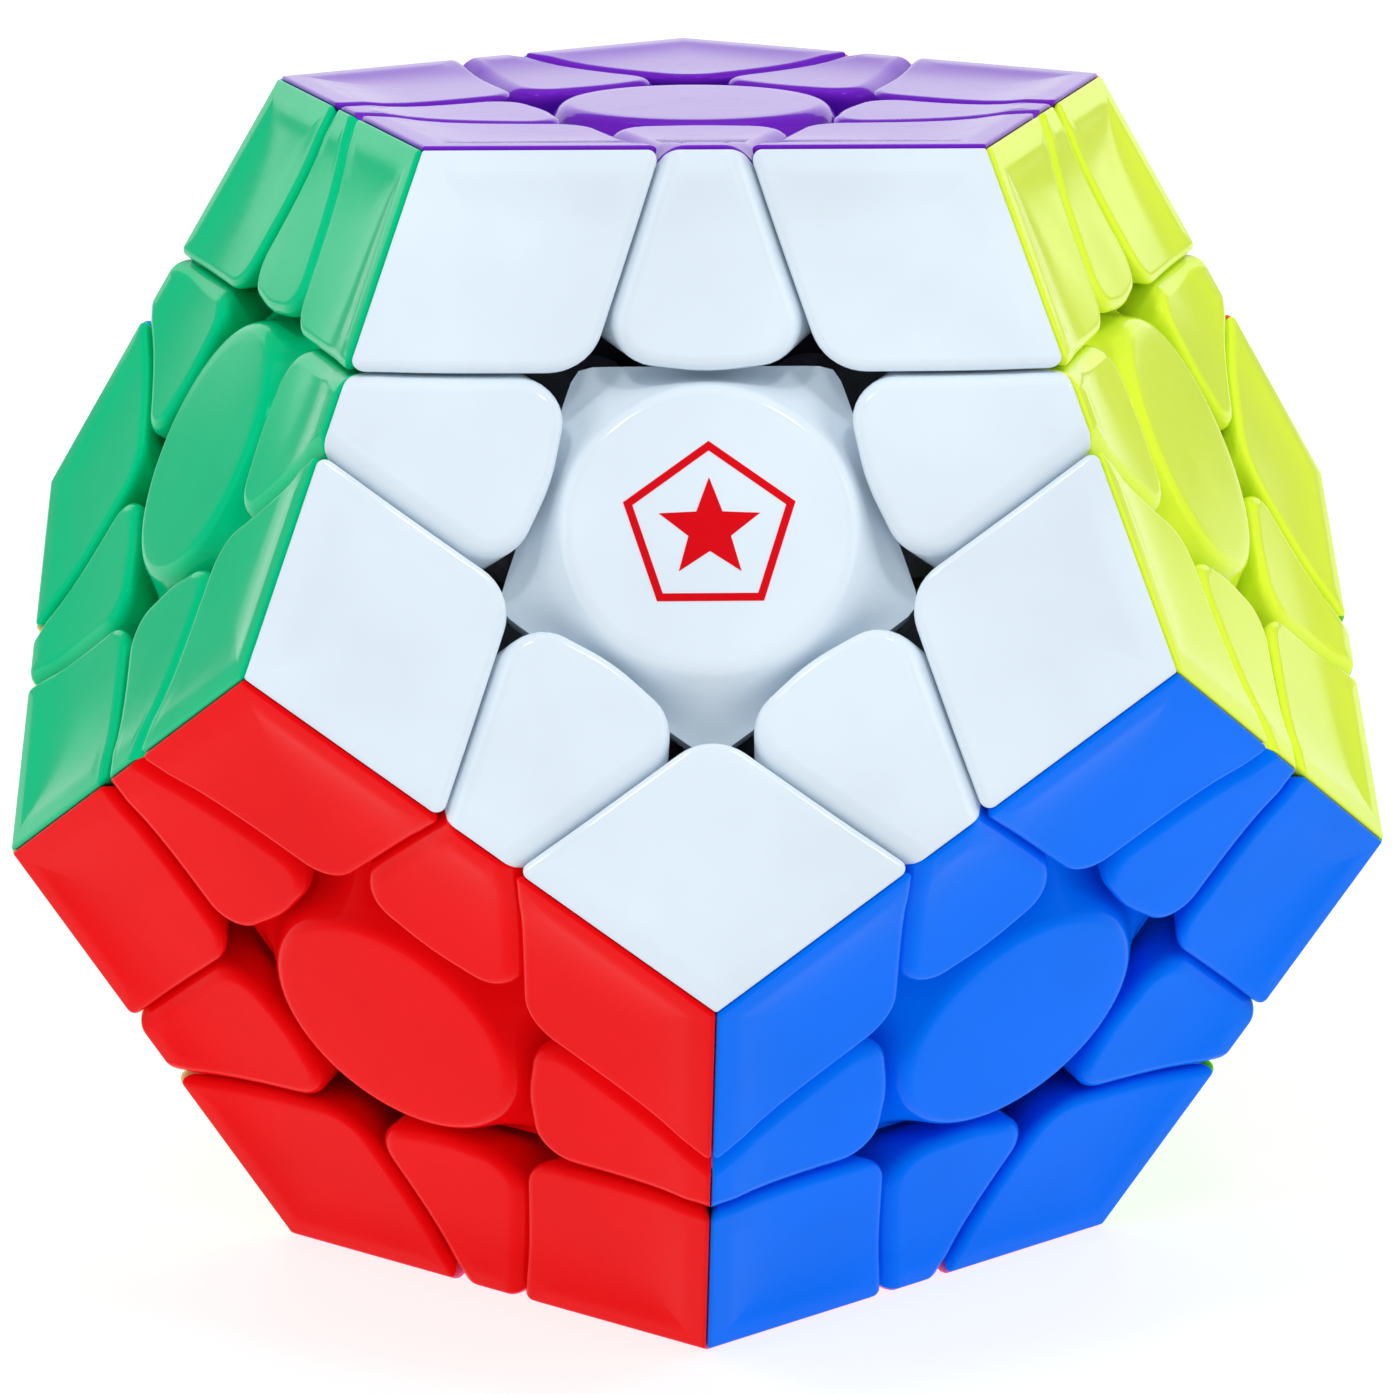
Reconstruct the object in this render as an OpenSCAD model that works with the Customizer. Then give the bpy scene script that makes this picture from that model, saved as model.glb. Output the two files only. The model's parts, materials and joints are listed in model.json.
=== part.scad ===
// Twisty puzzle in the shape of a regular dodecahedron, standing on its pink face.
// Twelve faces turn about axes that meet at the origin, in the middle of the core.

/* [Outside] */
// Distance between two opposite faces
face_to_face = 65; // [64:0.5:68]
// Share of a ridge that each of its two corner pieces takes
ridge_share = 0.4375; // [0.43:0.0025:0.44]
// Clearance between neighbouring pieces
gap = 0.3; // [0.2:0.05:0.35]
// Radius of a piece's corner next to a face's centre
inner_round = 3; // [1:0.25:3.5]
// Width of the flat band along each ridge
band_w = 1.6; // [1:0.1:2.5]
// Slope of a face from its band down towards its centre, in degrees
dish_slope = 3; // [2:0.25:5]

/* [Centres] */
// Radius of the button on each face
cap_r = 7.8; // [7:0.1:7.8]
// How far the button lies below the plane of its face
cap_drop = 0.5; // [0.5:0.1:1.2]
// Radius of the rounded rim of the button
rim_round = 0.9; // [0.4:0.1:1.2]
// Radius of the flared skirt under the button
skirt_r = 9.2; // [8.4:0.1:9.3]
// Distance from the middle to the five flat sides at the foot of the skirt
skirt_flat = 9.4; // [8.6:0.1:9.4]
// Radius of the stalk that runs down between the feet of the edge pieces
stalk_r = 3.5; // [3.3:0.05:3.6]

/* [Stems and feet] */
// Radius of the stem of a corner piece
corner_stem_r = 2.2; // [1.6:0.1:2.4]
// Half angle of the mushroom foot of a corner piece, seen from the core's middle
corner_foot_angle = 11; // [9:0.5:11.5]
// How far the foot of an edge piece reaches to each side, as an angle seen from the core's middle
edge_foot_angle = 17; // [14:0.5:17]
// Width of the foot of an edge piece
edge_foot_w = 4.2; // [3.4:0.1:4.2]
// Length of an edge piece's stem along the ridge
edge_stem_l = 7; // [4:0.25:7]
// Width of an edge piece's stem across the ridge
edge_stem_w = 6; // [4:0.25:6]

/* [Screws and springs] */
// Radius of a screw's shank
screw_r = 1.2; // [1:0.05:1.25]
// Radius of a screw's head
head_r = 2.5; // [2.2:0.1:2.6]
// Radius of the spring's outside
spring_r = 2.4; // [2:0.1:2.5]

/* [Hidden] */
$fn = 96;
in_r = face_to_face / 2;
ridge = 2 * in_r / sqrt(2.5 + 1.1 * sqrt(5));
tilt = atan(2);
face_in_r = in_r * tan(tilt / 2);
cut = in_r - ridge_share * ridge * cos(tilt / 2);
cut_in = cut + gap / 2;
cut_out = cut - gap / 2;

// Sizes with this factor scale with the puzzle, from the size at which they were drawn
unit = in_r / 32.5;
shell_r = 30.15 * unit;
stem_top = 30.09 * unit;
foot_top = 21.7 * unit;
foot_bottom = 17.3 * unit;
core_r = 16.5 * unit;
seam = 0.04;
big = 70 * unit;

cap_top = in_r - cap_drop;
skirt_z = 28.4 * unit;
skirt_t = 1.4 * unit;
skirt_corner_r = 11.4 * unit;
cap_z = 27 * unit;
base_top = 26.94 * unit;
base_z = 22.3 * unit;
base_r = 7 * unit;
pocket_z = 19.8 * unit;
pocket_r = 2.8;
bore_r = 1.5;
screw_tip = 9 * unit;
washer_z = 24.2 * unit;
washer_t = 0.4;
head_t = 1.6;
spring_wire = 0.5;
slot_w = 0.8;

// Each face's name, colour, angle down from +Z and angle round from +X
FACES = [
    ["purple", "#9a66dc", 0, 0],
    ["white", "#eef4fa", tilt, -90],
    ["yellow", "#e8f63a", tilt, -18],
    ["orange", "#f7861c", tilt, 54],
    ["cyan", "#5cc4ee", tilt, 126],
    ["green", "#12b562", tilt, 198],
    ["blue", "#0d63d8", 180 - tilt, -54],
    ["lime", "#7fdc3c", 180 - tilt, 18],
    ["grey", "#8b9199", 180 - tilt, 90],
    ["cream", "#f2e6b4", 180 - tilt, 162],
    ["red", "#dc1c26", 180 - tilt, 234],
    ["pink", "#f58fb4", 180, 0],
];
BOTTOM = 11;
ALL = [for (f = [0:11]) f];

function title(f) = FACES[f][0];
function tint(f) = FACES[f][1];
function normal(f) = let (p = FACES[f][2], a = FACES[f][3]) [sin(p) * cos(a), sin(p) * sin(a), cos(p)];
function unit_vector(v) = v / norm(v);

// Where +X ends up after aim(v)
function aimed_x(v) =
    let (p = acos(v.z / norm(v)), a = atan2(v.y, v.x)) [cos(p) * cos(a), cos(p) * sin(a), -sin(p)];

// The normal of the face at azimuth a round a vertex that points along +Z
function slanted(a) =
    let (p = asin(sin(tilt / 2) / sin(60))) [sin(p) * cos(a), sin(p) * sin(a), cos(p)];

function touch(f, g) = f != g && normal(f) * normal(g) > 0.4;
function meets_all(f, list) = len([for (g = list) if (touch(f, g)) g]) == len(list);
function side_faces(list) = [for (f = ALL) if (meets_all(f, list)) f];

EDGES = [for (a = ALL) for (b = ALL) if (a < b && touch(a, b)) [a, b]];
CORNERS = [for (e = EDGES) for (c = ALL) if (e[1] < c && meets_all(c, e)) [e[0], e[1], c]];

// The bottom face stays put, so each of its corners always moves with the edge piece above it
function is_low(e) = meets_all(BOTTOM, e);
LONE_EDGES = [for (e = EDGES) if (!is_low(e)) e];
LOW_EDGES = [for (e = EDGES) if (is_low(e)) e];
LONE_CORNERS = [for (c = CORNERS) if (c[2] != BOTTOM) c];

function centre_node(f) = str("centre_", title(f));
function edge_node(e) = str("edge_", title(e[0]), "_", title(e[1]));
function corner_node(c) = str("corner_", title(c[0]), "_", title(c[1]), "_", title(c[2]));
function pair_node(e) = str("pair_", title(e[0]), "_", title(e[1]), "_", title(BOTTOM));

// Turns +Z towards v
module aim(v) {
    rotate([0, acos(v.z / norm(v)), atan2(v.y, v.x)]) children();
}

// All points further along v than d
module beyond(v, d) {
    aim(v) translate([-big, -big, d]) cube([2 * big, 2 * big, 2 * big]);
}

// Rounds off the line where the planes (u, du) and (w, dw) meet, for a solid that lies beyond both.
// The round is a hair too large, so that it crosses the planes instead of only touching them.
module rounded_wedge(u, du, w, dw, r) {
    k = u * w;
    a = (du + r - k * (dw + r)) / (1 - k * k);
    b = (dw + r - k * (du + r)) / (1 - k * k);
    middle = a * u + b * w;
    m = unit_vector(u + w);
    beyond(m, m * middle - r * (u * m));
    translate(middle) aim(cross(u, w)) cylinder(h = 4 * big, r = r * 1.01, center = true);
}

// What the dish takes off the face with normal n, next to the ridge that it shares with the face of normal g
module dish_side(n, g) {
    across = unit_vector(g - (g * n) * n);
    v = n - tan(dish_slope) * across;
    beyond(v, (in_r - (face_in_r - band_w) * tan(dish_slope)) / norm(v));
}

// The side of a cut that stays where it is when the face with normal n turns
module clear_of(n) {
    beyond(-n, -cut_out);
}

// One shell of an edge piece. +Z runs through the middle of its ridge, which lies along Y.
// The shell's own face is on the +X side, the other face on the -X side, and the ridge ends at +Y and -Y.
module edge_shell() {
    own = [sin(tilt / 2), 0, cos(tilt / 2)];
    other = [-sin(tilt / 2), 0, cos(tilt / 2)];
    end = [0, cos(tilt / 2), sin(tilt / 2)];
    far_end = [0, -end.y, end.z];
    difference() {
        intersection() {
            beyond([1, 0, 0], seam);
            beyond(other, cut_in);
            clear_of(end);
            clear_of(far_end);
            rounded_wedge(other, cut_in, -end, -cut_out, inner_round);
            rounded_wedge(other, cut_in, -far_end, -cut_out, inner_round);
        }
        beyond(own, in_r);
        dish_side(own, other);
        sphere(shell_r);
    }
}

// A wedge of the space between two spheres, which opens along X and has width w along Y
module foot_wedge(angle, w, r0, r1) {
    intersection() {
        rotate([90, 0, 0]) linear_extrude(w, center = true)
            polygon([[0, 0], [big * tan(angle), big], [-big * tan(angle), big]]);
        difference() {
            sphere(r1);
            sphere(r0);
        }
    }
}

// The stem and foot under an edge piece; the foot reaches under the centres on both sides
module edge_body() {
    stem_z = foot_top - 0.1;
    stem_end = sqrt(pow(stem_top, 2) - pow(edge_stem_w / 2, 2) - pow(edge_stem_l / 2, 2));
    translate([-edge_stem_w / 2, -edge_stem_l / 2, stem_z]) cube([edge_stem_w, edge_stem_l, stem_end - stem_z]);
    translate([-edge_stem_w / 2, -edge_foot_w / 2, foot_top - 1]) cube([edge_stem_w, edge_foot_w, 2]);
    foot_wedge(edge_foot_angle, edge_foot_w, foot_bottom, foot_top);
}

// Places something drawn for edge_shell on the ridge between the faces of e, with e[1] on its +X side
module on_edge(e) {
    up = normal(e[0]) + normal(e[1]);
    across = normal(e[1]) - normal(e[0]);
    x = aimed_x(up);
    aim(up) rotate(atan2(cross(unit_vector(up), x) * across, x * across)) children();
}

// One edge piece: two shells that meet in a seam under the ridge, on one body
module edge(e) {
    on_edge(e) {
        color(tint(e[1])) edge_shell();
        color(tint(e[0])) rotate(180) edge_shell();
        color("lightgray") edge_body();
    }
}

// One shell of a corner piece. +Z runs through its vertex, and the shell's own face is on the +X side.
module corner_shell() {
    own = slanted(0);
    left = slanted(120);
    right = slanted(-120);
    difference() {
        intersection() {
            beyond(own - left, seam);
            beyond(own - right, seam);
            beyond(left, cut_in);
            beyond(right, cut_in);
            rounded_wedge(left, cut_in, right, cut_in, inner_round);
        }
        beyond(own, in_r);
        intersection() {
            dish_side(own, left);
            dish_side(own, right);
        }
        sphere(shell_r);
    }
}

// The stem and mushroom foot under a corner piece; the foot reaches under the edge pieces round it
module corner_body() {
    rotate_extrude() intersection() {
        difference() {
            circle(foot_top);
            circle(foot_bottom);
        }
        polygon([[0, 0], [big * tan(corner_foot_angle), big], [0, big]]);
    }
    translate([0, 0, foot_top - 1]) cylinder(h = stem_top - foot_top, r = corner_stem_r);
}

// Places something drawn for corner_shell on the vertex of the faces of c, with c[0] on its +X side
module on_corner(c) {
    up = normal(c[0]) + normal(c[1]) + normal(c[2]);
    x = aimed_x(up);
    aim(up) rotate(atan2(cross(unit_vector(up), x) * normal(c[0]), x * normal(c[0]))) children();
}

// One corner piece: three shells that meet at a vertex, on one body
module corner(c) {
    hand = sign(cross(normal(c[0]), normal(c[1])) * normal(c[2]));
    on_corner(c) {
        color(tint(c[0])) corner_shell();
        color(tint(c[1])) rotate(120 * hand) corner_shell();
        color(tint(c[2])) rotate(-120 * hand) corner_shell();
        color("lightgray") corner_body();
    }
}

// An edge piece of the layer above the bottom face, with the bottom corner that moves with it
module low_pair(e) {
    edge(e);
    corner([e[0], e[1], BOTTOM]);
}

// The outline of a button with a rounded rim and a flared skirt, from its axis outwards
module cap_outline() {
    polygon([
        [0, cap_z],
        [skirt_r, cap_z],
        [skirt_r, skirt_z],
        [cap_r, cap_top - rim_round],
        [cap_r - rim_round, cap_top - rim_round],
        [cap_r - rim_round, cap_top],
        [0, cap_top]
    ]);
    translate([cap_r - rim_round, cap_top - rim_round]) circle(rim_round);
}

// The five-sided foot of the skirt, with a flat side towards +X; it fills the space between the edge pieces
module skirt_plate() {
    intersection() {
        rotate(36) cylinder(h = skirt_t, r = skirt_flat / cos(36), $fn = 5);
        cylinder(h = skirt_t, r = skirt_corner_r);
    }
}

// Aims +Z along the axis of a face and +X towards one of its neighbours
module on_face(f) {
    neighbour = normal(side_faces([f])[0]);
    x = aimed_x(normal(f));
    aim(normal(f)) rotate(atan2(cross(normal(f), x) * neighbour, x * neighbour)) children();
}

// One centre: a button over a bored base, whose stalk passes between the feet of the edge pieces
module centre(f) {
    on_face(f) {
        color(tint(f)) {
            translate([0, 0, cap_z]) skirt_plate();
            rotate_extrude() intersection() {
                cap_outline();
                translate([0, cap_z]) square([skirt_r, cap_top - cap_z]);
            }
        }
        color("lightgray") difference() {
            union() {
                translate([0, 0, base_z]) cylinder(h = base_top - base_z, r = base_r);
                translate([0, 0, foot_bottom]) cylinder(h = base_z - foot_bottom + 1, r = stalk_r);
            }
            translate([0, 0, pocket_z]) cylinder(h = base_top, r = pocket_r);
            cylinder(h = base_top, r = bore_r);
        }
    }
}

// The ball in the middle, bored for the twelve screws
module core() {
    color("gainsboro") difference() {
        sphere(core_r);
        for (f = ALL)
            aim(normal(f)) translate([0, 0, screw_tip - 1]) cylinder(h = core_r, r = screw_r + 0.05);
    }
}

// One screw with a slotted head
module screw() {
    translate([0, 0, screw_tip]) cylinder(h = washer_z + washer_t - screw_tip, r = screw_r);
    difference() {
        translate([0, 0, washer_z + washer_t]) cylinder(h = head_t, r = head_r);
        translate([-head_r, -slot_w / 2, washer_z + washer_t + head_t / 2]) cube([2 * head_r, slot_w, head_t]);
    }
}

module screws() {
    color("silver")
        for (f = ALL) aim(normal(f)) screw();
}

// One spring, drawn as the sleeve that it fills, and the washer between it and the screw's head
module spring() {
    difference() {
        translate([0, 0, pocket_z + 0.05]) cylinder(h = washer_z - pocket_z - 0.1, r = spring_r);
        cylinder(h = 2 * washer_z, r = spring_r - spring_wire);
    }
    difference() {
        translate([0, 0, washer_z]) cylinder(h = washer_t - 0.05, r = spring_r);
        cylinder(h = 2 * washer_z, r = screw_r + 0.1);
    }
}

module springs() {
    color("darkgray")
        for (f = ALL) aim(normal(f)) spring();
}

core();
screws();
springs();
for (f = ALL) centre(f);
for (e = LONE_EDGES) edge(e);
for (e = LOW_EDGES) low_pair(e);
for (c = LONE_CORNERS) corner(c);
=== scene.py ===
"""Looks of a dodecahedral twisty puzzle: coloured shells over grey bodies, round buttons and a sprung core.

Sizes are in millimetres and angles in degrees, unless a name or comment says otherwise. Those with the factor
UNIT scale with the height of the CAD part. Points become metres when a mesh is made.
"""

import json
import math

import bpy
import numpy as np
from mathutils import Matrix, Vector


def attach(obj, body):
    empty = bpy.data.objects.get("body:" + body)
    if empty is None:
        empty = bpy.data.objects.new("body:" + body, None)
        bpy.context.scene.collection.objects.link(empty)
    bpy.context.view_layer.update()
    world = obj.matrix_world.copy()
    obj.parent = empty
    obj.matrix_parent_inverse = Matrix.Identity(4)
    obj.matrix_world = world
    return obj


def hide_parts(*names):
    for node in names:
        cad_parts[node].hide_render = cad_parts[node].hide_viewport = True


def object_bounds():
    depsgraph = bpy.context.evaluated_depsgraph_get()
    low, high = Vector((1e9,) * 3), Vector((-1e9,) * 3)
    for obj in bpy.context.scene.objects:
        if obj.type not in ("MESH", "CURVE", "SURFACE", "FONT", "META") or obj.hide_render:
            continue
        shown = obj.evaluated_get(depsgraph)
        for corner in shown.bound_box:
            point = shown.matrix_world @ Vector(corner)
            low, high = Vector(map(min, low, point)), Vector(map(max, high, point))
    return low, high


MM = 0.001
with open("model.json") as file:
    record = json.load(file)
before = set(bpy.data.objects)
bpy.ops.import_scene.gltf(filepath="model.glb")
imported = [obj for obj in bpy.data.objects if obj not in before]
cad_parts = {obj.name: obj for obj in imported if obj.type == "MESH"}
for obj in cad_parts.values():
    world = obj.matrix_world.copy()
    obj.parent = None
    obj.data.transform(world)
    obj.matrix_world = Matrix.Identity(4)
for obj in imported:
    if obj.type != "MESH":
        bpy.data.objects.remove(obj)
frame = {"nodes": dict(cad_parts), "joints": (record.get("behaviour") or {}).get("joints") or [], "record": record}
CAD_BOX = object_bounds()
NODES = sorted(frame["nodes"])

# --- the dodecahedron: IN_R is half its height, TILT (radians) the angle between two neighbouring axes ------
FIFTH = 72
HALF_FIFTH = 36
USUAL_IN_R = 32.5
IN_R = (CAD_BOX[1][2] - CAD_BOX[0][2]) / 2 / MM
UNIT = IN_R / USUAL_IN_R
TILT = math.atan(2)
HALF_TILT = TILT / 2
RIDGE = 2 * IN_R / math.sqrt(2.5 + 1.1 * math.sqrt(5))
FACE_IN_R = IN_R * math.tan(HALF_TILT)
NEIGHBOUR_COSINE = 0.4  # neighbouring axes have more than this as the cosine of their angle

# --- the cuts: a corner piece takes CORNER_SHARE of a ridge, and CUT is a cut's distance from the middle ----
CORNER_SHARE = 0.4375
CUT = IN_R - CORNER_SHARE * RIDGE * math.cos(HALF_TILT)
GAP = 0.16  # between the walls of two pieces
SEAM = 0.02  # how far a shell stays back from the ridge
SHELL_R = 30.15 * UNIT  # radius of the sphere under the shells
DEEPEST_WALL = 14.0 * UNIT

# --- feet and stems, as distances from the middle, and a foot's angle on each side of its axis --------------
FOOT_TOP = 21.7 * UNIT
FOOT_BOTTOM = 17.3 * UNIT
NECK_TOP = 26.0 * UNIT
STEM_TOP = 30.1 * UNIT
CORNER_FOOT = 11
EDGE_FOOT = 16.8

# --- the button: CAP_DROP and SKIRT_DROP are depths below the face and below the button's top ---------------
CAP_R = 7.85 * UNIT
CAP_DROP = 0.5
CAP_TOP = IN_R - CAP_DROP
CAP_FLOOR = 27.05 * UNIT
CAP_RINGS = (1.5, 3.0, 4.6)
CAP_FLAT = 0.7  # width of the last flat ring inside the rim
CAP_UNDER_R = 4.0
RIM = 1.0
RIM_END = 35
RIM_STEPS = 9
SKIRT_R = 9.25 * UNIT
SKIRT_DROP = 2.7
SKIRT_T = 0.2
SKIRT_DRAFT = 0.05
SKIRT_CORNERS = 30  # the higher, the sharper the corners of the pentagon
SKIRT_TURN = 1.5  # the higher, the longer the flank stays round on its way down
FLARE = 2.2  # the higher, the longer the flank keeps its directions at both ends
FLARE_ARRIVAL = (0.9, -0.3)  # direction, outwards and up, in which the flank meets the skirt's edge
FLARE_SHARES = np.linspace(0.1, 1, 12)
BUTTON_POINTS = 100

# --- the bored base under a button --------------------------------------------------------------------------
BASE_R = 7.0 * UNIT
BASE_TOP = 26.94 * UNIT
BASE_BOTTOM = 22.3 * UNIT
BASE_BEVEL = 0.3
CUP_R = 2.8
CUP_FLOOR = 19.8 * UNIT
BORE_R = 1.5
STALK_R = 3.5

# --- the print on the white button --------------------------------------------------------------------------
MARK_R = 4.6
MARK_LINE = 0.5
MARK_STAR = 2.7
MARK_WAIST = 0.42  # inner radius of the star over its outer one
MARK_T = 0.02  # how far the print stands proud
MARK_SUNK = 0.06  # how far it goes into the button

# --- how a shell's edges are rounded: fillets over the rim, then the rounds of its outline's corners --------
RIDGE_FILLET = 0.3
CUT_FILLET = 0.75
INNER_FILLET = 0.9
INNER_BULGE = 7  # half of the bend in the middle of an edge piece's inner side
EDGE_ROUNDS = [0.7, 2.3, 11.0, 2.3, 0.7]
CORNER_ROUNDS = [0.25, 0.6, 3.0, 0.6]
LEAST_ROUND = 0.12

# --- how a shell's face is scooped out: flat for BAND along a ridge, then down to DISH_DEPTH ----------------
BAND = 1.5
BAND_SOFTNESS = 0.2
DISH_DEPTH = 0.55
DISH_REACH = 2.5
DISH_BLEND = 5.0  # the higher, the crisper the crease between the dishes of two ridges
NO_DISH = 1e-6

# --- how fine the meshes are --------------------------------------------------------------------------------
ARC_STEPS = 9
SIDE_STEPS = 7
TOP_RINGS = 16
TOP_CROWDING = 1.35  # the higher, the closer together the rings near the rim
FILLET_STEPS = 6
WALL_STEPS = 3
WALL_PROBE = 4  # depth over which the slope of a wall is measured
UNDER_RINGS = 4
HALVINGS = 40
BASE_POINTS = 72
CORNER_BODY_POINTS = 48
BLOCK_STEPS = 5
SHARP = 35.0  # faces that meet at more than this angle show a sharp edge

# --- floor and light, in metres and watts: each lamp has a name, place, size and power ----------------------
FLOOR_GLOW = 0.78
FLOOR_COLOUR = (0.62, 0.62, 0.62)
FLOOR_REACH = 4.0
WORLD_COLOUR = (0.94, 0.97, 1.0, 1.0)
WORLD_LIGHT = 0.25
SOFTBOXES = [
    ("box_top", (0.0, -0.05, 0.75), (0.8, 0.6), 1.4),
    ("box_back", (0.0, 0.9, 0.30), (1.4, 0.5), 2.1),
    ("box_left", (-0.8, -0.25, 0.25), (0.4, 0.9), 1.9),
    ("box_right", (0.8, -0.25, 0.25), (0.4, 0.9), 2.3),
    ("box_front", (0.0, -0.8, 0.75), (0.9, 0.3), 0.8),
    ("spot_left", (-0.17, -0.24, 0.53), (0.08, 0.05), 0.55),
    ("spot_right", (0.17, -0.24, 0.53), (0.08, 0.05), 0.55),
]

# --- camera, fitted to the photo: its turn about the vertical, from the front, and its rise above level -----
CAMERA_TURN = -1.6
CAMERA_RISE = 15.6
CAMERA_DISTANCE = 254.8
CAMERA_AIM = (0.16, 0.0, -2.5)
CAMERA_LENS = 113.65
SENSOR_WIDTH = 36.0
CLIP_START = 0.01  # metres

# --- colours, as display values -----------------------------------------------------------------------------
PLASTICS = {
    "purple": (0.46, 0.14, 0.78),
    "white": (0.885, 0.935, 0.975),
    "yellow": (0.90, 1.0, 0.24),
    "orange": (1.0, 0.42, 0.02),
    "cyan": (0.22, 0.72, 0.97),
    "green": (0.0, 0.79, 0.53),
    "blue": (0.0, 0.45, 0.98),
    "lime": (0.45, 0.88, 0.12),
    "grey": (0.50, 0.53, 0.57),
    "cream": (0.96, 0.90, 0.64),
    "red": (0.95, 0.04, 0.06),
    "pink": (0.98, 0.48, 0.68),
}

INNER_GREY = (0.66, 0.67, 0.69)
CORE_CREAM = (0.84, 0.84, 0.82)
PRINT_RED = (0.86, 0.06, 0.10)
SCREW_STEEL = (0.72, 0.72, 0.72 * 1.01)
SPRING_STEEL = (0.55, 0.55, 0.55 * 1.01)

# How strongly a coloured plastic mirrors its surroundings; one that isn't listed takes USUAL_GLOSS
GLOSS = {"purple": 0.45, "green": 0.14, "yellow": 0.22, "red": 0.06, "blue": 0.04}
USUAL_GLOSS = 0.3

# Scale and detail of the noise in a finish's colour and roughness, the span over which that noise goes from
# low to high, and the detail and height of the grain
CLOUDS = (90.0, 3.0)
SMEARS = (260.0, 4.0)
NOISE_SPAN = (0.35, 0.65)
GRAIN_DETAIL = 2.0
GRAIN_HEIGHT = 0.02

TURN = "turn_"  # a joint that turns a face is named by this and the face


def axes_of_faces():
    """The outward axis of each face: the joints give eleven, and the puzzle stands on the twelfth."""
    turns = [joint for joint in frame["joints"] if joint["name"].startswith(TURN)]
    found = {joint["name"][len(TURN):]: Vector(joint["axis"]) for joint in turns}
    found["pink"] = Vector((0, 0, -1))
    return found


AXES = axes_of_faces()


# --- materials ----------------------------------------------------------------------------------------------
def linear(colour):
    """A display (sRGB) colour as the linear RGBA that a shader takes."""
    return tuple(c / 12.92 if c <= 0.04045 else ((c + 0.055) / 1.055) ** 2.4 for c in colour) + (1.0,)


def shade(colour, factor):
    """A colour made brighter or darker, and never brighter than the display's full."""
    return tuple(min(1.0, c * factor) for c in colour)


def noise(tree, scale, detail, vector):
    node = tree.nodes.new("ShaderNodeTexNoise")
    node.inputs["Scale"].default_value = scale
    node.inputs["Detail"].default_value = detail
    tree.links.new(vector, node.inputs["Vector"])
    return node.outputs["Fac"]


def spread(tree, source, low, high):
    """A number that goes from low to high as the noise goes through its span."""
    node = tree.nodes.new("ShaderNodeMapRange")
    node.inputs["From Min"].default_value = NOISE_SPAN[0]
    node.inputs["From Max"].default_value = NOISE_SPAN[1]
    node.inputs["To Min"].default_value = low
    node.inputs["To Max"].default_value = high
    tree.links.new(source, node.inputs["Value"])
    return node.outputs["Result"]


def ramp(tree, source, low, high):
    """A colour that goes from low to high as the noise goes through its span."""
    node = tree.nodes.new("ShaderNodeValToRGB")
    for element, position, colour in zip(node.color_ramp.elements, NOISE_SPAN, (low, high)):
        element.position = position
        element.color = colour
    tree.links.new(source, node.inputs["Fac"])
    return node.outputs["Color"]


def finish_material(name, colour, roughness, bump, grain, variation, metallic=0.0, specular=0.5):
    """A procedural finish: colour and roughness drift over the surface, and a fine grain catches light."""
    material = bpy.data.materials.new(name)
    material.use_nodes = True
    tree = material.node_tree
    shader = tree.nodes["Principled BSDF"]
    place = tree.nodes.new("ShaderNodeTexCoord").outputs["Object"]
    cloud = noise(tree, *CLOUDS, place)
    low = linear(shade(colour, 1 - variation))
    high = linear(shade(colour, 1 + variation))
    tree.links.new(ramp(tree, cloud, low, high), shader.inputs["Base Color"])
    smears = noise(tree, *SMEARS, place)
    tree.links.new(spread(tree, smears, *roughness), shader.inputs["Roughness"])
    relief = tree.nodes.new("ShaderNodeBump")
    relief.inputs["Strength"].default_value = bump
    relief.inputs["Distance"].default_value = GRAIN_HEIGHT * MM
    tree.links.new(noise(tree, grain, GRAIN_DETAIL, place), relief.inputs["Height"])
    tree.links.new(relief.outputs["Normal"], shader.inputs["Normal"])
    shader.inputs["Metallic"].default_value = metallic
    shader.inputs["Specular IOR Level"].default_value = specular
    if metallic == 0.0:
        shader.inputs["Specular Tint"].default_value = linear(colour)
    return material


def glossy_plastic(name, colour):
    return finish_material(
        f"plastic_{name}", colour, roughness=(0.09, 0.14), bump=0.04, grain=900.0, variation=0.015,
        specular=GLOSS.get(name, USUAL_GLOSS))


def inner_plastic():
    return finish_material(
        "inner_plastic", INNER_GREY, roughness=(0.38, 0.55), bump=0.25, grain=2200.0, variation=0.05)


def core_plastic():
    return finish_material(
        "core_plastic", CORE_CREAM, roughness=(0.35, 0.5), bump=0.2, grain=1800.0, variation=0.03)


def steel(name, colour):
    return finish_material(
        name, colour, roughness=(0.22, 0.4), bump=0.2, grain=3000.0, variation=0.06, metallic=1.0)


def print_ink():
    return finish_material(
        "print_red", PRINT_RED, roughness=(0.3, 0.4), bump=0.05, grain=900.0, variation=0.03)


def floor_white():
    """Matt white that glows a little by itself, as a lit white sweep does."""
    material = finish_material(
        "floor_white", FLOOR_COLOUR, roughness=(0.5, 0.6), bump=0.02, grain=40.0, variation=0.004,
        specular=0.1)
    shader = material.node_tree.nodes["Principled BSDF"]
    shader.inputs["Emission Color"].default_value = (1.0, 1.0, 1.0, 1.0)
    shader.inputs["Emission Strength"].default_value = FLOOR_GLOW
    return material


SHELL_MATERIALS = {name: glossy_plastic(name, colour) for name, colour in PLASTICS.items()}
INNER = inner_plastic()


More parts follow.
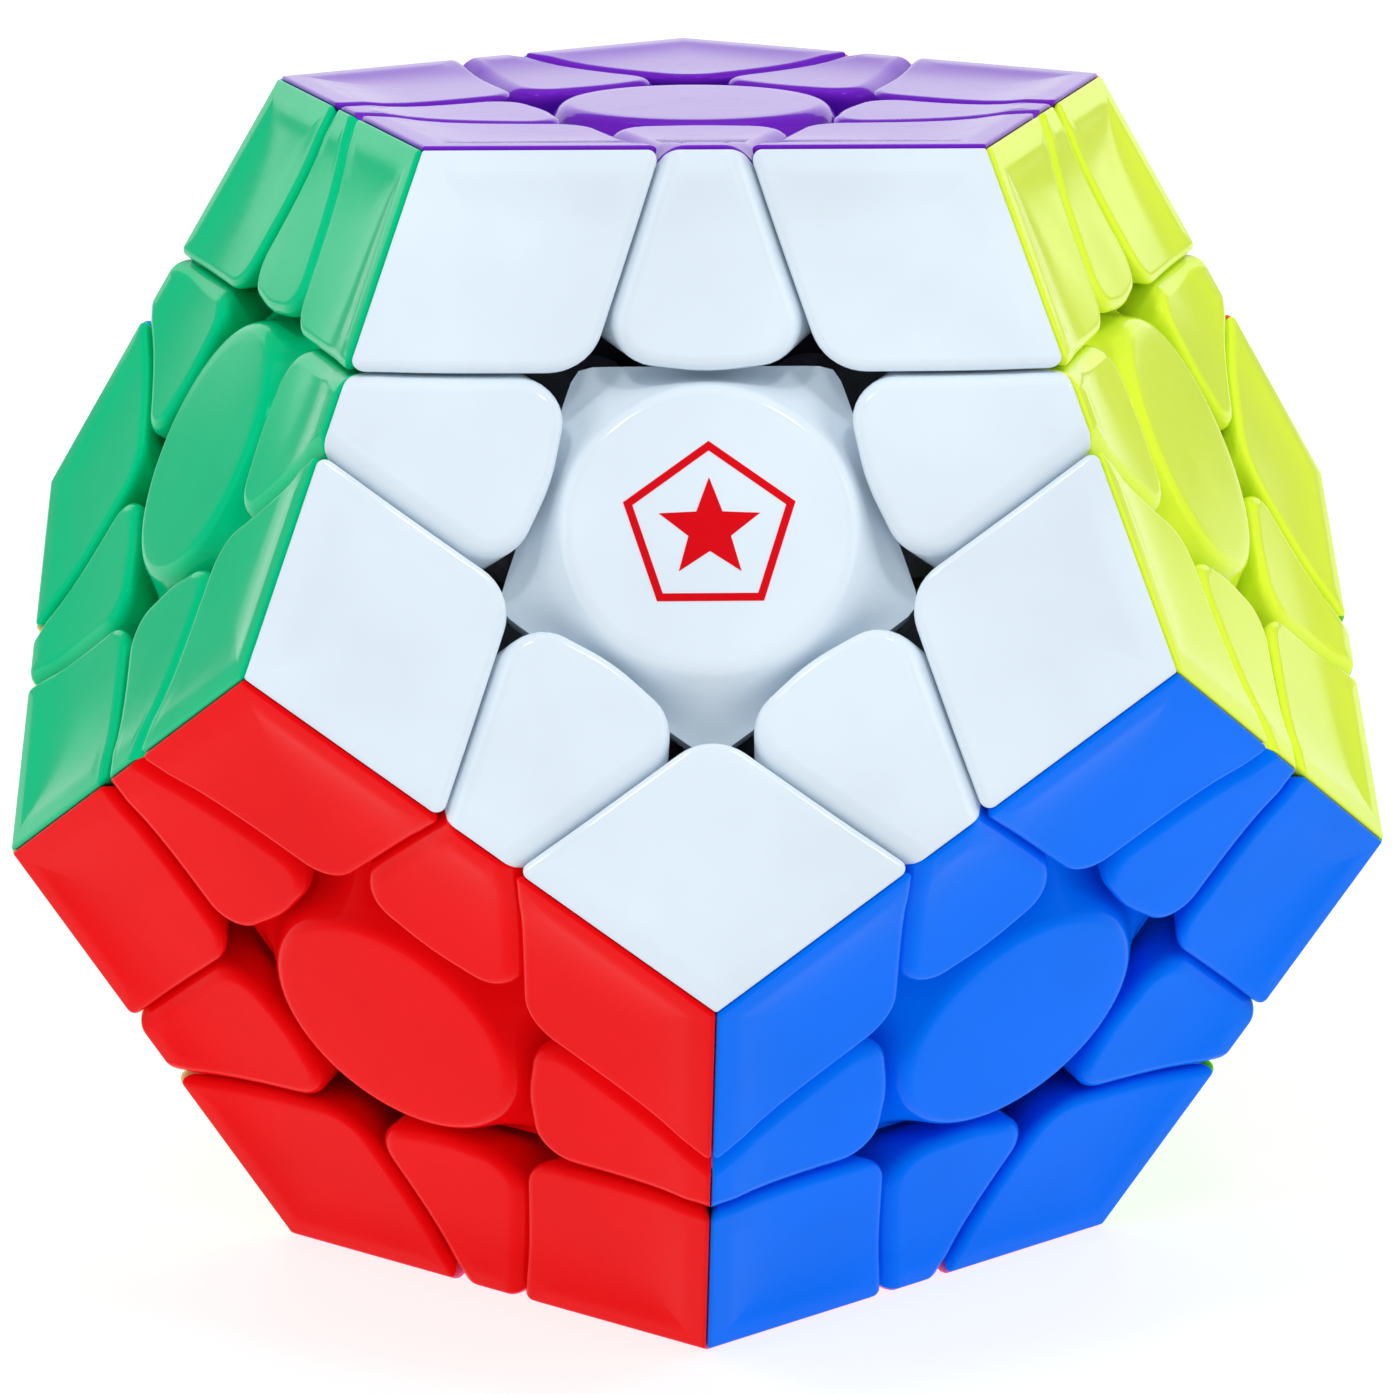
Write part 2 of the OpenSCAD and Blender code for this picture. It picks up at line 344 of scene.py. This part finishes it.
# --- outlines of shells, seen from outside the face ---------------------------------------------------------
class Side:
    """One straight side: angle of its outward normal in radians, distance from the face's middle, how much
    further out it moves per millimetre of depth, the radius of its rim, and whether it is a ridge."""

    def __init__(self, angle, reach, drift, fillet, ridge=False):
        self.normal = np.array([math.cos(angle), math.sin(angle)])
        self.angle = angle
        self.reach = reach
        self.drift = drift
        self.fillet = fillet
        self.ridge = ridge

    def at(self, turn):
        """Distance, depth and inset of this side on its rim; turn goes from 0 on top to pi/2 on the wall."""
        inset = self.fillet * (1 - math.sin(turn))
        depth = self.fillet * (1 - math.cos(turn))
        return self.reach + self.drift * depth - inset, depth, inset


def cut_reach(limit):
    """How far from a face's middle a neighbour's cut crosses it, where limit is the cut's distance from the
    puzzle's middle, and how that place drifts per millimetre of depth."""
    reach = (limit - IN_R * math.cos(TILT)) / math.sin(TILT)
    return reach, math.cos(TILT) / math.sin(TILT)


def ridge_side(angle):
    return Side(angle, FACE_IN_R - SEAM, -math.tan(HALF_TILT), RIDGE_FILLET, ridge=True)


def edge_sides():
    """Sides of an edge piece's shell. The ridge is at +x; the inner side bulges a little."""
    ends, end_drift = cut_reach(CUT - GAP / 2)
    inner, inner_drift = cut_reach(CUT + GAP / 2)
    bulge = math.radians(INNER_BULGE)
    lean = inner * math.cos(bulge)
    return [
        ridge_side(0),
        Side(math.radians(FIFTH), ends, end_drift, CUT_FILLET),
        Side(math.pi - bulge, -lean, -inner_drift, INNER_FILLET),
        Side(math.pi + bulge, -lean, -inner_drift, INNER_FILLET),
        Side(math.radians(360 - FIFTH), ends, end_drift, CUT_FILLET),
    ]


def corner_sides():
    """Sides of a corner piece's shell. The vertex is at +x."""
    inner, drift = cut_reach(CUT + GAP / 2)
    return [
        ridge_side(math.radians(-HALF_FIFTH)),
        ridge_side(math.radians(HALF_FIFTH)),
        Side(math.radians(180 - HALF_FIFTH), -inner, -drift, CUT_FILLET),
        Side(math.radians(180 + HALF_FIFTH), -inner, -drift, CUT_FILLET),
    ]


def meeting(one, two, reach_one, reach_two):
    """The point at these distances along the normals of two sides."""
    return np.linalg.solve(np.array([one.normal, two.normal]), np.array([reach_one, reach_two]))


def rounded_corner(side, after, full_round, turn):
    """Points round the corner between a side and the one after it, at one turn of their fillets."""
    reach, depth, inset = side.at(turn)
    reach_after, depth_after, inset_after = after.at(turn)
    r = max(LEAST_ROUND, full_round - (inset + inset_after) / 2)
    middle = meeting(side, after, reach - r, reach_after - r)
    swing = (after.angle - side.angle) % (2 * math.pi)
    arc = []
    for k in range(ARC_STEPS + 1):
        t = k / ARC_STEPS
        a = side.angle + swing * t
        z = depth * (1 - t) + depth_after * t
        arc.append((middle[0] + r * math.cos(a), middle[1] + r * math.sin(a), z))
    return arc


def ring(sides, rounds, turn):
    """Points round the rim at one turn of its fillets, as x, y and depth."""
    afters = sides[1:] + sides[:1]
    arcs = [rounded_corner(*corner, turn) for corner in zip(sides, afters, rounds)]
    points = []
    for i, arc in enumerate(arcs):
        points += arc
        start, end = np.array(arc[-1]), np.array(arcs[(i + 1) % len(arcs)][0])
        points += [tuple(start + (end - start) * k / SIDE_STEPS) for k in range(1, SIDE_STEPS)]
    return np.array(points)


def dish(sides, xy):
    """How far the face is scooped out at xy: next to nothing on the band along a ridge, then down to a
    shallow floor."""
    total = np.zeros(len(xy))
    for side in [s for s in sides if s.ridge]:
        x = side.reach - xy @ side.normal - BAND
        run = (x + np.sqrt(x * x + BAND_SOFTNESS**2)) / 2
        depth = DISH_DEPTH * (1 - np.exp(-run / DISH_REACH)) + NO_DISH
        total += depth**-DISH_BLEND
    return total ** (-1 / DISH_BLEND)


def wall_ends(rim, slope):
    """Depth at which each wall line meets the sphere under the shells."""
    low = rim[:, 2].copy()
    high = np.full(len(rim), DEEPEST_WALL)
    for _ in range(HALVINGS):
        middle = (low + high) / 2
        xy = rim[:, :2] + slope * (middle - rim[:, 2])[:, None]
        outside = (xy**2).sum(1) + (IN_R - middle) ** 2 > SHELL_R**2
        low = np.where(outside, middle, low)
        high = np.where(outside, high, middle)
    return low


def wall_slope(sides, rounds):
    """How each point at the foot of the rim moves in x and y per millimetre of depth."""
    deeper = [Side(s.angle, s.reach + s.drift * WALL_PROBE, s.drift, s.fillet, s.ridge) for s in sides]
    wall_turn = math.pi / 2
    return (ring(deeper, rounds, wall_turn)[:, :2] - ring(sides, rounds, wall_turn)[:, :2]) / WALL_PROBE


def face_rings(sides, rounds, heart):
    """Rings from the middle of the face out to the rim, and on over the rim's fillet."""
    top = ring(sides, rounds, 0.0)
    rings = []
    for k in range(1, TOP_RINGS + 1):
        share = 1 - (1 - k / TOP_RINGS) ** TOP_CROWDING
        xy = heart + (top[:, :2] - heart) * share
        rings.append(np.c_[xy, dish(sides, xy)])
    for k in range(1, FILLET_STEPS + 1):
        rim = ring(sides, rounds, math.pi / 2 * k / FILLET_STEPS)
        rings.append(np.c_[rim[:, :2], rim[:, 2] + dish(sides, rim[:, :2])])
    return rings


def wall_rings(rim, slope):
    """Rings from the foot of the rim down the wall to the sphere under the shells."""
    ends = wall_ends(rim, slope)
    rings = []
    for k in range(1, WALL_STEPS + 1):
        depth = rim[:, 2] + (ends - rim[:, 2]) * k / WALL_STEPS
        rings.append(np.c_[rim[:, :2] + slope * (depth - rim[:, 2])[:, None], depth])
    return rings


def under_rings(last, centre):
    """Rings on the sphere under the shells, from the foot of the wall towards the centre."""
    rings = []
    for k in range(1, UNDER_RINGS):
        p = last + (centre - last) * k / UNDER_RINGS
        p[:, 2] = IN_R - np.sqrt(SHELL_R**2 - (p[:, :2] ** 2).sum(1))
        rings.append(p)
    return rings


def shell_rings(sides, rounds):
    """The middle of the face, all rings down to the underside, and the middle of the underside."""
    heart = ring(sides, rounds, 0.0)[:, :2].mean(0)
    rings = face_rings(sides, rounds, heart)
    rings += wall_rings(rings[-1], wall_slope(sides, rounds))
    centre = rings[-1].mean(0)
    rings += under_rings(rings[-1], centre)
    centre[2] = IN_R - math.sqrt(SHELL_R**2 - (centre[:2] ** 2).sum())
    start = np.array([heart[0], heart[1], dish(sides, heart[None])[0]])
    return start, rings, centre


def skin(name, first, rings, last):
    """A closed mesh over rings of points, with a point at each end. First, last and rings are in metres."""
    count = len(rings[0])
    points = [first] + [p for r in rings for p in r] + [last]
    faces = [(0, 1 + i, 1 + (i + 1) % count) for i in range(count)]
    for k in range(len(rings) - 1):
        a = 1 + k * count
        b = a + count
        for i in range(count):
            j = (i + 1) % count
            faces.append((a + i, b + i, b + j, a + j))
    a = 1 + (len(rings) - 1) * count
    tip = len(points) - 1
    faces += [(a + i, tip, a + (i + 1) % count) for i in range(count)]
    return mesh_of(name, points, faces)


def mesh_of(name, points, faces):
    mesh = bpy.data.meshes.new(name)
    mesh.from_pydata([tuple(map(float, p)) for p in points], [], faces)
    mesh.validate()
    mesh.shade_smooth()
    mesh.set_sharp_from_angle(angle=math.radians(SHARP))
    return mesh


def from_depth(points):
    """Points with a depth below the face, as points with a height above the puzzle's middle, in metres."""
    return np.array([points[..., 0], points[..., 1], IN_R - points[..., 2]]).T * MM


def shell_mesh(name, sides, rounds):
    """A shell in its face's own frame: x outwards from the face's middle, z along the face's axis."""
    start, rings, end = shell_rings(sides, rounds)
    return skin(name, from_depth(start), [from_depth(r) for r in rings], from_depth(end))


# --- buttons, bases, stems and feet: profiles are lists of radius and height --------------------------------
def arc_points(x, z, r, start, end, steps):
    """Points on a circle about (x, z), with angles in degrees from +x towards +z."""
    angles = np.radians(np.linspace(start, end, steps + 1))
    return [(x + r * math.cos(a), z + r * math.sin(a)) for a in angles]


def circle(r, z, steps):
    """Points round the axis at a radius and height, in metres."""
    turn = [2 * math.pi * i / steps for i in range(steps)]
    return [(r * math.cos(a) * MM, r * math.sin(a) * MM, z * MM) for a in turn]


def revolved(name, profile, steps):
    """A closed mesh from a profile that starts and ends on the axis."""
    rings = [circle(r, z, steps) for r, z in profile[1:-1]]
    return skin(name, (0, 0, profile[0][1] * MM), rings, (0, 0, profile[-1][1] * MM))


def washer_like(name, profile, steps):
    """A closed mesh from a closed profile that stays clear of the axis."""
    points = [point for r, z in profile for point in circle(r, z, steps)]
    faces = []
    for k in range(len(profile)):
        a = k * steps
        b = (k + 1) % len(profile) * steps
        for i in range(steps):
            j = (i + 1) % steps
            faces.append((a + i, b + i, b + j, a + j))
    return mesh_of(name, points, faces)


def button_ring(reach, fiveness, z):
    """A ring about +Z: a circle at fiveness 0, and at 1 a rounded pentagon with a side to each neighbour."""
    angles = np.arange(BUTTON_POINTS) * 2 * math.pi / BUTTON_POINTS
    leans = [np.clip(np.cos(angles - math.radians(FIFTH * k)), 0, 1) ** SKIRT_CORNERS for k in range(5)]
    r = reach * ((1 - fiveness) + fiveness * np.array(leans).sum(0) ** (-1 / SKIRT_CORNERS))
    return np.c_[r * np.cos(angles), r * np.sin(angles), np.full(BUTTON_POINTS, z)] * MM


def flare():
    """A Hermite curve down the hollow flank of a button, from the end of its rim to the edge of its skirt:
    the share of the way, the radius and the height at each of its points."""
    end = math.radians(RIM_END)
    start = np.array([CAP_R - RIM + RIM * math.cos(end), CAP_TOP - RIM + RIM * math.sin(end)])
    finish = np.array([SKIRT_R, CAP_TOP - SKIRT_DROP])
    leave = FLARE * np.array([math.sin(end), -math.cos(end)])
    arrive = FLARE * np.array(FLARE_ARRIVAL)
    for t in FLARE_SHARES:
        keep = 2 * t**3 - 3 * t**2 + 1
        drop = 3 * t**2 - 2 * t**3
        r, z = keep * start + drop * finish + (t**3 - 2 * t**2 + t) * leave + (t**3 - t**2) * arrive
        yield t, r, z


def cap_mesh():
    """The button: a flat disc with a rounded rim on a skirt that flares out towards the pieces round it."""
    rim = arc_points(CAP_R - RIM, CAP_TOP - RIM, RIM, 90, RIM_END, RIM_STEPS)
    rings = [button_ring(r, 0, CAP_TOP) for r in (*CAP_RINGS, CAP_R - RIM - CAP_FLAT)]
    rings += [button_ring(r, 0, z) for r, z in rim]
    rings += [button_ring(r, t**SKIRT_TURN, z) for t, r, z in flare()]
    rings.append(button_ring(SKIRT_R, 1, CAP_TOP - SKIRT_DROP - SKIRT_T))
    rings.append(button_ring(SKIRT_R - SKIRT_DRAFT, 1, CAP_FLOOR + SKIRT_T))
    rings.append(button_ring(SKIRT_R - SKIRT_T, 1, CAP_FLOOR))
    rings.append(button_ring(CAP_UNDER_R, 0, CAP_FLOOR))
    return skin("cap", (0, 0, CAP_TOP * MM), rings, (0, 0, CAP_FLOOR * MM))


def base_mesh():
    """The bored base under a button: a cup for the spring and a stalk that passes between the feet."""
    bevel = BASE_BEVEL
    outside = [
        (BASE_R, BASE_BOTTOM + bevel),
        (BASE_R, BASE_TOP - bevel),
        (BASE_R - bevel, BASE_TOP),
    ]
    cup_and_bore = [
        (CUP_R + bevel, BASE_TOP),
        (CUP_R, BASE_TOP - bevel),
        (CUP_R, CUP_FLOOR),
        (BORE_R, CUP_FLOOR),
        (BORE_R, FOOT_BOTTOM + 0.2),
        (BORE_R + 0.2, FOOT_BOTTOM),
    ]
    stalk = [
        (STALK_R - bevel, FOOT_BOTTOM),
        (STALK_R, FOOT_BOTTOM + bevel),
        (STALK_R, BASE_BOTTOM - 0.4),
        (STALK_R + 0.4, BASE_BOTTOM),
        (BASE_R - bevel, BASE_BOTTOM),
    ]
    profile = outside + cup_and_bore + stalk
    return washer_like("base", profile[::-1], BASE_POINTS)


def corner_body_mesh():
    """Stem and mushroom foot of a corner piece, about +Z."""
    reach = math.sin(math.radians(CORNER_FOOT))
    low, high = FOOT_BOTTOM, FOOT_TOP
    low_r, high_r = low * reach, high * reach
    profile = [
        (0, low),
        (low_r * 0.5, low * 0.996),
        (low_r - 0.5, low * 0.984),
        (low_r - 0.1, low * 0.987),
        (low_r, low),
        (high_r - 0.1, high * 0.955),
        (high_r - 0.15, high * 0.973),
        (high_r - 0.6, high * 0.982),
        (2.6, high * 0.993),
        (2.3, high + 0.25),
        (2.15, high + 0.9),
        (2.1, NECK_TOP),
        (2.18, STEM_TOP - 0.4),
        (1.9, STEM_TOP - 0.12),
        (0, STEM_TOP - 0.05),
    ]
    return revolved("corner_body", profile, CORNER_BODY_POINTS)


def round_block(half_x, half_y, r, radius):
    """A rounded rectangle on the sphere of a given radius about the origin."""
    points = []
    for quarter, (sx, sy) in enumerate([(1, 1), (-1, 1), (-1, -1), (1, -1)]):
        for k in range(BLOCK_STEPS + 1):
            a = math.pi / 2 * (quarter + k / BLOCK_STEPS)
            x = sx * (half_x - r) + r * math.cos(a)
            y = sy * (half_y - r) + r * math.sin(a)
            points.append((x, y, math.sqrt(radius**2 - x * x - y * y)))
    return np.array(points)


def edge_body_mesh():
    """Stem and foot of an edge piece, about +Z, with the ridge along Y."""
    reach = math.sin(math.radians(EDGE_FOOT))
    low, high = FOOT_BOTTOM, FOOT_TOP
    tip = STEM_TOP - 0.05
    # Half the width, half the length, the corners' radius and the distance from the middle of each layer
    layers = [
        (low * reach - 0.5, 1.6, 0.4, low + 0.02),
        (low * reach - 0.05, 2.02, 0.5, low + 0.15),
        (low * reach, 2.08, 0.5, low + 0.4),
        (high * reach - 0.1, 2.08, 0.5, high - 0.4),
        (high * reach - 0.4, 2.0, 0.5, high - 0.12),
        (3.6, 2.05, 0.6, high - 0.05),
        (3.0, 2.3, 0.6, high + 0.2),
        (2.9, 3.3, 0.6, high + 0.7),
        (2.92, 3.4, 0.6, NECK_TOP),
        (2.95, 3.45, 0.6, STEM_TOP - 0.3),
        (2.6, 3.1, 0.6, tip),
    ]
    rings = [round_block(*layer) * MM for layer in layers]
    return skin("edge_body", (0, 0, low * MM), rings, (0, 0, tip * MM))


# --- placing ------------------------------------------------------------------------------------------------
def frame_at(z, towards):
    """Rotation with +Z along z and +X as close to towards as it can be."""
    z = Vector(z).normalized()
    x = Vector(towards)
    x = (x - z * x.dot(z)).normalized()
    y = z.cross(x)
    return Matrix((x, y, z)).transposed().to_4x4()


def put(shape, name, material, place, body):
    """Shows a copy of a shape in its place, on a body of the CAD part. The points hold the place."""
    mesh = shape.copy()
    mesh.name = name
    mesh.transform(place)
    mesh.materials.append(material)
    piece = bpy.data.objects.new(name, mesh)
    bpy.context.scene.collection.objects.link(piece)
    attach(piece, body)
    return piece


def body_holding(node):
    """The body of the CAD part that a node belongs to."""
    for body, nodes in frame["record"]["behaviour"]["bodies"].items():
        if node in nodes:
            return body
    raise ValueError(node)


EDGE_SHELL = shell_mesh("edge_shell", edge_sides(), EDGE_ROUNDS)
CORNER_SHELL = shell_mesh("corner_shell", corner_sides(), CORNER_ROUNDS)
EDGE_BODY = edge_body_mesh()
CORNER_BODY = corner_body_mesh()
CAP = cap_mesh()
BASE = base_mesh()


def show_edge(a, b, node):
    """Both shells of an edge piece and the body under them."""
    body = body_holding(node)
    between = AXES[a] + AXES[b]
    for own, other in ((a, b), (b, a)):
        name = f"edge_{a}_{b}_shell_{own}"
        place = frame_at(AXES[own], AXES[other])
        shell = put(EDGE_SHELL, name, SHELL_MATERIALS[own], place, body)
        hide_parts(node)
    place = frame_at(between, AXES[b] - AXES[a])
    under = put(EDGE_BODY, f"edge_{a}_{b}_body", INNER, place, body)
    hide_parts(node)


def show_corner(names, node):
    """The three shells of a corner piece and the body under them."""
    body = body_holding(node)
    label = "_".join(names)
    vertex = AXES[names[0]] + AXES[names[1]] + AXES[names[2]]
    for own in names:
        name = f"corner_{label}_shell_{own}"
        place = frame_at(AXES[own], vertex)
        shell = put(CORNER_SHELL, name, SHELL_MATERIALS[own], place, body)
        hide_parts(node)
    place = frame_at(vertex, AXES[names[0]])
    under = put(CORNER_BODY, f"corner_{label}_body", INNER, place, body)
    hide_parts(node)


def show_centre(name, node):
    """A face's button and the bored base under it."""
    body = body_holding(node)
    neighbour = next(n for n in AXES if n != name and AXES[n].dot(AXES[name]) > NEIGHBOUR_COSINE)
    place = frame_at(AXES[name], AXES[neighbour])
    cap = put(CAP, f"centre_{name}_cap", SHELL_MATERIALS[name], place, body)
    base = put(BASE, f"centre_{name}_base", INNER, place, body)
    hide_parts(node)
    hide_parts(node)


def plate(points, faces, loops):
    """Adds a closed plate between outlines: one loop, or an outer and an inner one with as many points."""
    start, n = len(points), len(loops[0])
    for z in (CAP_TOP - MARK_SUNK, CAP_TOP + MARK_T):
        for loop in loops:
            points.extend((r * math.cos(math.radians(a)), r * math.sin(math.radians(a)), z) for r, a in loop)
    low, high = start, start + n * len(loops)
    for i in range(n):
        j = (i + 1) % n
        faces.append((low + i, low + j, high + j, high + i))
        if len(loops) == 2:
            faces.append((low + n + j, low + n + i, high + n + i, high + n + j))
            faces.append((high + i, high + j, high + n + j, high + n + i))
            faces.append((low + j, low + i, low + n + i, low + n + j))
    if len(loops) == 1:
        faces.append(tuple(high + i for i in range(n)))
        faces.append(tuple(low + i for i in reversed(range(n))))


def star_mark():
    """A plain print for the white button: a five-sided ring round a five-pointed star, just proud of it."""
    outer = [(MARK_R, 90 + FIFTH * k) for k in range(5)]
    inner = [(MARK_R - MARK_LINE, 90 + FIFTH * k) for k in range(5)]
    star = [(MARK_STAR * (MARK_WAIST if k % 2 else 1), 90 + HALF_FIFTH * k) for k in range(10)]
    points = []
    faces = []
    plate(points, faces, [outer, inner])
    plate(points, faces, [star])
    mesh = bpy.data.meshes.new("mark")
    mesh.from_pydata([tuple(c * MM for c in p) for p in points], [], faces)
    return mesh


def show_mark():
    """The print on the white button, with one point of its star towards the top of the puzzle."""
    place = frame_at(AXES["white"], AXES["yellow"] + AXES["green"] + AXES["purple"] * 3)
    turned = place @ Matrix.Rotation(math.radians(-90), 4, "Z")
    put(star_mark(), "centre_white_mark", print_ink(), turned, body_holding("centre_white"))


def show_pieces():
    """Each node is named by its kind and its faces; a pair is an edge piece with the corner beside it."""
    for node in NODES:
        kind, *names = node.split("_")
        if kind == "centre":
            show_centre(names[0], node)
        if kind in ("edge", "pair"):
            show_edge(names[0], names[1], node)
        if kind in ("corner", "pair"):
            show_corner(names, node)


def dress_cad_nodes():
    """The core, screws and springs are shown as the CAD part has them."""
    looks = {
        "core": core_plastic(),
        "screws": steel("screw_steel", SCREW_STEEL),
        "springs": steel("spring_steel", SPRING_STEEL),
    }
    for node, material in looks.items():
        mesh = frame["nodes"][node].data
        mesh.materials.clear()
        mesh.materials.append(material)


# --- floor, light and camera --------------------------------------------------------------------------------
def floor():
    """A wide pale floor under the puzzle."""
    z = CAD_BOX[0][2]
    corners = [(-FLOOR_REACH, -FLOOR_REACH), (FLOOR_REACH, -FLOOR_REACH)]
    corners += [(FLOOR_REACH, FLOOR_REACH), (-FLOOR_REACH, FLOOR_REACH)]
    mesh = bpy.data.meshes.new("floor")
    mesh.from_pydata([(x, y, z) for x, y in corners], [], [(0, 1, 2, 3)])
    plane = bpy.data.objects.new("floor", mesh)
    bpy.context.scene.collection.objects.link(plane)
    mesh.materials.append(floor_white())


def softbox(name, place, size, power):
    """A rectangular lamp that points at the puzzle's middle."""
    light = bpy.data.lights.new(name, "AREA")
    light.shape = "RECTANGLE"
    light.size, light.size_y = size
    light.energy = power
    lamp = bpy.data.objects.new(name, light)
    lamp.location = place
    lamp.rotation_euler = (-Vector(place)).to_track_quat("-Z", "Y").to_euler()
    bpy.context.scene.collection.objects.link(lamp)


def lighting():
    """A dim bluish world, large boxes all round, weakest in front, and two small lamps for bright specks."""
    world = bpy.data.worlds.new("studio")
    world.use_nodes = True
    background = world.node_tree.nodes["Background"]
    background.inputs["Color"].default_value = WORLD_COLOUR
    background.inputs["Strength"].default_value = WORLD_LIGHT
    bpy.context.scene.world = world
    for box in SOFTBOXES:
        softbox(*box)
    bpy.context.scene.view_settings.view_transform = "Standard"


def camera():
    """Looks slightly down at the puzzle, from close by, so that the nearest pieces stand out."""
    turn = math.radians(CAMERA_TURN)
    rise = math.radians(CAMERA_RISE)
    aim = Vector(CAMERA_AIM) * UNIT * MM
    back = Vector((math.sin(turn) * math.cos(rise), -math.cos(turn) * math.cos(rise), math.sin(rise)))
    data = bpy.data.cameras.new("camera")
    data.sensor_width = SENSOR_WIDTH
    data.lens = CAMERA_LENS
    data.clip_start = CLIP_START
    eye = bpy.data.objects.new("camera", data)
    eye.location = aim + back * (CAMERA_DISTANCE * UNIT * MM)
    eye.rotation_euler = (-back).to_track_quat("-Z", "Y").to_euler()
    bpy.context.scene.collection.objects.link(eye)
    bpy.context.scene.camera = eye


show_pieces()
show_mark()
dress_cad_nodes()
floor()
lighting()
camera()
